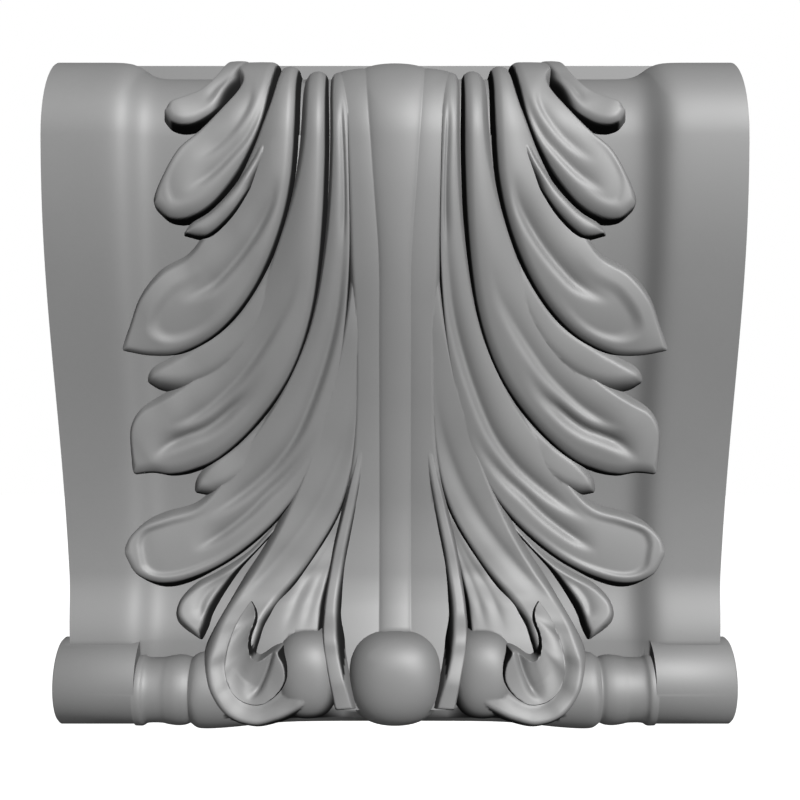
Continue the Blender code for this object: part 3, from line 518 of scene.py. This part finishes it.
def turnedForm(name, profile, depth, height):
    form = bmesh.new()
    verts = [form.verts.new((x * mm, 0.0, radius * mm)) for x, radius in profile]
    edges = [form.edges.new(pair) for pair in zip(verts, verts[1:])]
    bmesh.ops.spin(form, geom=verts + edges, cent=(0, 0, 0), axis=(1, 0, 0), angle=math.tau,
                   steps=roll["sides"], use_merge=True)
    bmesh.ops.remove_doubles(form, verts=form.verts, dist=1e-6)
    bmesh.ops.holes_fill(form, edges=[edge for edge in form.edges if edge.is_boundary])
    bmesh.ops.translate(form, verts=form.verts, vec=Vector((0, -depth, height)) * mm)
    bmesh.ops.recalc_face_normals(form, faces=form.faces)
    return toMesh(form, name)


def rollForms():
    half = through(roll["profile"], np.linspace(0, 1, roll["samples"]))
    whole = np.vstack([half[::-1] * (-1, 1), half[1:]])
    forms = [turnedForm("roll", whole, roll["depth"], roll["height"])]
    for side in (-1, 1):
        face = roll["endOuter"] - roll["endStep"]
        rings = [(side * (face + out), radius) for out, radius in roll["endRings"]]
        drum = [(side * roll["endInner"], 0.0), (side * roll["endInner"], roll["endRadius"])] + rings
        forms.append(turnedForm("rollEnd", drum, roll["endDepth"], roll["endHeight"]))
    return forms


# swollen ends of the carving that hang over the roll

balls = {
    "tongue": {"centre": (0, 30, -125), "radii": (21.5, 22, 21)},
    "drum": {"centre": (38.5, 30, -123.5), "radii": (15, 19.5, 19.5)},
    "boxiness": 0.32, "segments": 72,
}


def ballForm(name, side):
    form = bmesh.new()
    bmesh.ops.create_uvsphere(form, u_segments=balls["segments"], v_segments=balls["segments"] // 2, radius=1)
    x, depth, height = balls[name]["centre"]
    centre, radii = Vector((side * x, -depth, height)), Vector(balls[name]["radii"])
    for vertex in form.verts:
        a, b, c = (part * part for part in vertex.co)
        swell = 1 + balls["boxiness"] * (a * b + b * c + a * c)
        vertex.co = (vertex.co * swell * radii + centre) * mm
    return toMesh(form, name)


# the block

def blockForm():
    b = block
    line = faceCurve(72)
    fine = np.arange(b["panelEdge"] - b["fineBefore"], b["panelEdge"] + b["fineAfter"], 1.0)
    half = np.concatenate([b["plainStations"], fine, [b["halfWidth"] - b["borderStation"], b["halfWidth"]]])
    stations = np.concatenate([-half[:0:-1], half])
    run = np.gradient(line, axis=0)
    outward = np.stack([-run[:, 1], run[:, 0]], -1) / np.hypot(*run.T)[:, None]
    outward[0] = (0, 1)
    recess = b["panelDepth"] * (1 + np.tanh((b["panelEdge"] - abs(stations)) / b["stepSoftness"])) / 2
    face = line[:, None, :] - outward[:, None, :] * recess[None, :, None]
    limit = halfAt(face[..., 1])
    face = np.concatenate([np.clip(stations, -limit, limit)[..., None], face], -1)
    crown = b["scrollHeight"] + b["scrollRadius"]
    edge = np.zeros_like(face[:3])
    edge[0] = np.stack([stations, 0 * stations + b["scrollDepth"], 0 * stations + crown], -1)
    edge[1:, :, 0] = face[-1, :, 0]
    edge[1:, :, 1] = np.array([[b["underDepth"]], [b["footBack"]]])
    edge[1:, :, 2] = np.array([[b["underHeight"]], [b["bottom"]]])
    face = np.concatenate([edge[:1], face, edge[1:]])
    rows, columns = len(face) - 1, len(stations) - 1

    def place(share, across, depth):
        spot = face[np.rint(share * rows).astype(int), np.rint(across * columns).astype(int)]
        return np.stack([spot[:, 0], -spot[:, 1] * depth, spot[:, 2]], -1) * mm

    mesh = slab("block", rows, columns, lambda s, t: place(s, t, 1.0), lambda s, t: place(s, t, 0.0))
    form = bmesh.new()
    form.from_mesh(mesh)
    bmesh.ops.dissolve_degenerate(form, edges=form.edges, dist=2e-6)
    bmesh.ops.recalc_face_normals(form, faces=form.faces)
    for way in ((0, 1, 0), (0, 0, 1), (0, 0, -1)):
        flat = [f for f in form.faces if f.normal.dot(Vector(way)) > 0.9999
                and (way[1] or abs(f.calc_center_median().y) < 0.016)]
        bmesh.ops.dissolve_faces(form, faces=flat, use_verts=False)
    bmesh.ops.triangulate(form, faces=form.faces)
    return toMesh(form, "block")


def sideField(side):  # what is cut away to sink a plain field in each side
    b = block
    line = faceCurve(96)
    run = np.gradient(line, axis=0)
    inward = np.stack([run[:, 1], -run[:, 0]], -1) / np.hypot(*run.T)[:, None]
    form = bmesh.new()
    rings = []
    for margin, rise in ((b["sideMargin"] - b["sideBevel"] * 0.4, 1.0),
                         (b["sideMargin"] + b["sideBevel"], -b["sideDepth"])):
        low, high = b["sideFoot"] + margin, b["scrollHeight"] + b["scrollRadius"] - margin
        front = line + inward * margin
        front = front[(front[:, 1] > low + 0.5) & (front[:, 1] < high - 0.2)]
        start, end = np.interp(-low, -line[:, 1], line[:, 0]) - margin, front[0, 0]
        back = np.stack([np.full(25, margin), np.linspace(low, high, 25)], -1)
        ring = np.vstack([[end - 2.0, high], front, [start, low], back])
        x = side * (halfAt(ring[:, 1]) + rise)
        rings.append([form.verts.new(Vector(spot) * mm) for spot in zip(x, -ring[:, 0], ring[:, 1])])
    loops = [form.edges.new(pair) for ring in rings for pair in zip(ring, ring[1:] + ring[:1])]
    bmesh.ops.bridge_loops(form, edges=loops)
    bmesh.ops.holes_fill(form, edges=[edge for edge in form.edges if edge.is_boundary])
    bmesh.ops.triangulate(form, faces=form.faces)
    bmesh.ops.recalc_face_normals(form, faces=form.faces)
    return toMesh(form, "sideField")


# the piece: everything is united into one body

def countOpen(mesh):
    form = bmesh.new()
    form.from_mesh(mesh)
    count = sum(not edge.is_manifold for edge in form.edges)
    form.free()
    return count


def newGroup(name):
    group = bpy.data.collections.new(name)
    bpy.context.scene.collection.children.link(group)
    return group


parts, cuts = newGroup("parts"), newGroup("cuts")


def addPart(mesh, group=parts):
    item = bpy.data.objects.new(mesh.name, mesh)
    group.objects.link(item)
    wrong = countOpen(mesh)
    if wrong:
        print("open edges in", mesh.name, wrong)


for side in (-1, 1):
    addPart(sideField(side), cuts)
    addPart(ballForm("drum", side))
    for order, (name, lobe) in enumerate(lobes.items()):
        level = carving["buried"] + 0.2 * order + 0.07 * side    # no two undersides lie in one plane
        addPart(lobeSlab(name, lobe, side, level))
addPart(stemSlab())
addPart(ballForm("tongue", 1))
for mesh in rollForms():
    addPart(mesh)

corbel = bpy.data.objects.new("carvedCorbel", blockForm())
bpy.context.scene.collection.objects.link(corbel)
print("stage: block, open edges", countOpen(corbel.data))
for name, operation, group in (("sink", "DIFFERENCE", cuts), ("unite", "UNION", parts)):
    step = corbel.modifiers.new(name, "BOOLEAN")
    step.operation = operation
    step.operand_type = "COLLECTION"
    step.collection = group
    step.solver = "MANIFOLD"
solid = bpy.data.meshes.new_from_object(corbel.evaluated_get(bpy.context.evaluated_depsgraph_get()))
corbel.modifiers.clear()
corbel.data = solid
for group in (parts, cuts):
    for item in list(group.objects):
        bpy.data.objects.remove(item)
    bpy.data.collections.remove(group)
triangles = sum(len(face.vertices) - 2 for face in solid.polygons)
print("stage: united, triangles", triangles, "open edges", countOpen(solid))

solid.shade_smooth()
solid.set_sharp_from_angle(angle=math.radians(60))


def sharpenSides(mesh):  # crisp bevels round the fields in the sides
    form = bmesh.new()
    form.from_mesh(mesh)
    sides = set()
    for face in form.faces:
        x, _, z = face.calc_center_median()
        if abs(face.normal.x) > 0.6 and abs(x) / mm > halfAt(z / mm) - block["sideDepth"] - 1.0:
            sides.add(face)
    for edge in form.edges:
        if edge.calc_face_angle(0.0) >= math.radians(25) and sides.issuperset(edge.link_faces):
            edge.smooth = False
    form.to_mesh(mesh)
    form.free()


sharpenSides(solid)


def readVectors(source, count):
    values = np.empty(count * 3, np.float32)
    source.foreach_get("vector", values)
    return values.reshape(-1, 3)


# painted shade: the steep carved walls that face the stem or the foot are darkened in the stone's colour,
# standing in for their shade
paintedShadeArea = {
    "steep": 0.8, "steepRange": 0.45, "inward": 2.0, "inwardStart": 0.3,    # which walls darken, and how fast
    "upperHalf": 127.0, "lowerHalf": 87.5, "waist": -104.0,    # the carving's half width above and below it
    "front": 16.5, "foot": -143.0, "tongueHalf": 22.0, "tongueTop": -106.0,
}


def paintShadeOnWalls(mesh):  # how steeply the carving stands on the face, kept per corner as painted shade on the walls that face the stem or the foot
    corners = np.empty(len(mesh.loops), np.int32)
    mesh.loops.foreach_get("vertex_index", corners)
    x, y, z = (readPlaces(mesh)[corners] / mm).T
    rise = np.maximum(z - block["scrollHeight"], 0.0)
    turn = np.arctan2(rise, np.maximum(-y - block["scrollDepth"], 0.0)) * (rise > 0)
    w = np.minimum(z, block["scrollHeight"]) + turn * block["scrollRadius"]
    outward, upward = np.interp(w, faceLine[0], faceLine[3]), np.interp(w, faceLine[0], faceLine[4])
    normals = readVectors(mesh.corner_normals, len(corners))
    facing = -normals[:, 1] * outward + normals[:, 2] * upward
    reach = np.where(z > paintedShadeArea["waist"], paintedShadeArea["upperHalf"], paintedShadeArea["lowerHalf"])
    inside = (abs(x) < reach) & (y < -paintedShadeArea["front"]) & (z > paintedShadeArea["foot"])
    inside &= (abs(x) > paintedShadeArea["tongueHalf"]) | (z > paintedShadeArea["tongueTop"])
    inward = -normals[:, 0] * np.sign(x) - normals[:, 2]    # the walls that face the stem or the foot
    steepness = ease((paintedShadeArea["steep"] - facing) / paintedShadeArea["steepRange"])
    amount = steepness * ease(inward * paintedShadeArea["inward"] + paintedShadeArea["inwardStart"]) * inside
    # the painted shade amount per corner, carried by the recess attribute
    paintedShadeMarks = mesh.attributes.new("recess", "FLOAT", "CORNER")
    paintedShadeMarks.data.foreach_set("value", amount.astype(np.float32))


paintShadeOnWalls(solid)


# stone

class Shade:  # a value in the stone's node tree that can be worked with like a number
    def __init__(self, tree, socket):
        self.tree, self.socket = tree, socket

    def math(self, operation, other):
        node = self.tree.nodes.new("ShaderNodeMath")
        node.operation = operation
        for socket, value in zip(node.inputs, (self, other)):
            if isinstance(value, Shade):
                self.tree.links.new(value.socket, socket)
            else:
                socket.default_value = value
        return Shade(self.tree, node.outputs[0])

    def __add__(self, other):
        return self.math("ADD", other)

    def __sub__(self, other):
        return self.math("SUBTRACT", other)

    def __mul__(self, other):
        return self.math("MULTIPLY", other)

    __radd__, __rmul__ = __add__, __mul__

    def __rsub__(self, other):
        return self * -1.0 + other


def addNode(tree, kind, out, settings=(), **links):
    node = tree.nodes.new(kind)
    for key, value in dict(settings).items():
        if key in node.inputs:
            node.inputs[key].default_value = value
        else:
            setattr(node, key, value)
    for key, value in links.items():
        tree.links.new(getattr(value, "socket", value), node.inputs[key.replace("_", " ")])
    return Shade(tree, node.outputs[out])


finish = {
    "tone": 0.20, "cloud": 0.10, "grain": 0.08, "cloudScale": 22.0, "grainScale": 900.0,
    "roughness": 0.62, "cloudRoughness": 0.06, "grainRoughness": 0.05, "bump": 0.05, "bumpDistance": 0.0002,
    "paintedShade": 0.93, "paintedShadeShader": 0.85, "paintedShadeTone": 0.01,    # how dark the painted shade on the steep walls is
}
stone = bpy.data.materials.new("greyStone")
stone.use_nodes = True
tree = stone.node_tree
surface = tree.nodes["Principled BSDF"]
surface.inputs["IOR"].default_value = 1.8
surface.inputs["Specular IOR Level"].default_value = 1.0
places = addNode(tree, "ShaderNodeTexCoord", "Object")
cloud = addNode(tree, "ShaderNodeTexNoise", "Fac",
                {"Scale": finish["cloudScale"], "Detail": 4.0, "Roughness": 0.55}, Vector=places)
grain = addNode(tree, "ShaderNodeTexNoise", "Fac",
                {"Scale": finish["grainScale"], "Detail": 3.0, "Roughness": 0.6}, Vector=places)
# the recess attribute carries the painted shade on the steep walls
recess = addNode(tree, "ShaderNodeAttribute", "Fac", {"attribute_name": "recess"})
tone = ((cloud - 0.5) * finish["cloud"] + (grain - 0.5) * finish["grain"] + 1.0) * finish["tone"]
# painted shade: the base colour darkens towards black on the marked walls
tone = tone * (1.0 - recess * finish["paintedShade"])
colour = addNode(tree, "ShaderNodeCombineColor", "Color", {}, Red=tone, Green=tone, Blue=tone)
tree.links.new(colour.socket, surface.inputs["Base Color"])
cloudy, grainy = (cloud - 0.5) * finish["cloudRoughness"], (grain - 0.5) * finish["grainRoughness"]
tree.links.new((cloudy + grainy + finish["roughness"]).socket, surface.inputs["Roughness"])
bump = addNode(tree, "ShaderNodeBump", "Normal",
               {"Strength": finish["bump"], "Distance": finish["bumpDistance"]}, Height=grain)
tree.links.new(bump.socket, surface.inputs["Normal"])
# painted shade: a near black matt shader mixed in over the marked walls
paintedShadeColour = (*[finish["paintedShadeTone"]] * 3, 1)
paintedShadeShader = addNode(tree, "ShaderNodeBsdfPrincipled", "BSDF",
                      {"Base Color": paintedShadeColour, "Roughness": 0.95, "Specular IOR Level": 0.1})
mixed = tree.nodes.new("ShaderNodeMixShader")
tree.links.new((recess * finish["paintedShadeShader"]).socket, mixed.inputs["Fac"])
tree.links.new(surface.outputs["BSDF"], mixed.inputs[1])
tree.links.new(paintedShadeShader.socket, mixed.inputs[2])
tree.links.new(mixed.outputs["Shader"], tree.nodes["Material Output"].inputs["Surface"])
solid.materials.clear()
solid.materials.append(stone)
corbel.visible_diffuse = False
corbel.visible_glossy = False
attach(corbel, "root")
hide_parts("corbel")
print("stage: stone")

# stage

stage = {"floor": -0.3, "size": 3.0, "tone": 0.9, "glow": 0.6, "world": 0.035}
form = bmesh.new()
bmesh.ops.create_grid(form, x_segments=1, y_segments=1, size=stage["size"])
bmesh.ops.translate(form, verts=form.verts, vec=(0, 0, stage["floor"]))
floor = bpy.data.objects.new("floor", toMesh(form, "floor"))
bpy.context.scene.collection.objects.link(floor)
pale = bpy.data.materials.new("paleFloor")
pale.use_nodes = True
paleSurface = pale.node_tree.nodes["Principled BSDF"]
paleSurface.inputs["Base Color"].default_value = (*[stage["tone"]] * 3, 1)
paleSurface.inputs["Emission Color"].default_value = (1, 1, 1, 1)
paleSurface.inputs["Emission Strength"].default_value = stage["glow"]
floor.data.materials.append(pale)
floor.visible_diffuse = False
floor.visible_glossy = False
floor.visible_shadow = False

suns = {    # the back one is square to the back, so that it misses the carved walls
    "front": {"way": (0.035, -1, 0.14), "energy": 1.57, "angle": 10, "shadow": False, "shine": False},
    "key": {"way": (0.41, -0.71, 0.574), "energy": 3.14, "angle": 10, "shadow": False, "shine": True},
    "back": {"way": (0, 1, 0), "energy": 2.4, "angle": 1, "shadow": True, "shine": True},
    "left": {"way": (-1, 0, 0.12), "energy": 0.75, "angle": 1, "shadow": True, "shine": False},
    "right": {"way": (1, 0, 0.12), "energy": 0.75, "angle": 1, "shadow": True, "shine": False},
}
for name, sun in suns.items():
    light = bpy.data.lights.new(name, "SUN")
    light.energy = sun["energy"]
    light.angle = math.radians(sun["angle"])
    light.use_shadow = sun["shadow"]
    item = bpy.data.objects.new(name, light)
    item.rotation_euler = Vector(sun["way"]).to_track_quat("Z", "Y").to_euler()
    item.visible_glossy = sun["shine"]
    bpy.context.scene.collection.objects.link(item)

world = bpy.data.worlds.new("studio")
bpy.context.scene.world = world
world.use_nodes = True
tree = world.node_tree
soft = tree.nodes["Background"]
soft.inputs["Color"].default_value = (1, 1, 1, 1)
soft.inputs["Strength"].default_value = stage["world"]
seen = tree.nodes.new("ShaderNodeBackground")
seen.inputs["Color"].default_value = (1, 1, 1, 1)
rays = tree.nodes.new("ShaderNodeLightPath")
choice = tree.nodes.new("ShaderNodeMixShader")
tree.links.new(rays.outputs["Is Camera Ray"], choice.inputs["Fac"])
tree.links.new(soft.outputs["Background"], choice.inputs[1])
tree.links.new(seen.outputs["Background"], choice.inputs[2])
tree.links.new(choice.outputs["Shader"], tree.nodes["World Output"].inputs["Surface"])

view = {"lens": 53.91, "distance": 0.5644, "shift": 0.00625}
lens = bpy.data.cameras.new("camera")
lens.lens = view["lens"]
lens.shift_x = view["shift"]
lens.shift_y = -view["shift"]
lens.clip_start = 0.01
camera = bpy.data.objects.new("camera", lens)
camera.location = (0, -view["distance"], 0)
camera.rotation_euler = (math.pi / 2, 0, 0)
bpy.context.scene.collection.objects.link(camera)
bpy.context.scene.camera = camera
bpy.context.scene.view_settings.view_transform = "Standard"
print("stage: light and camera")
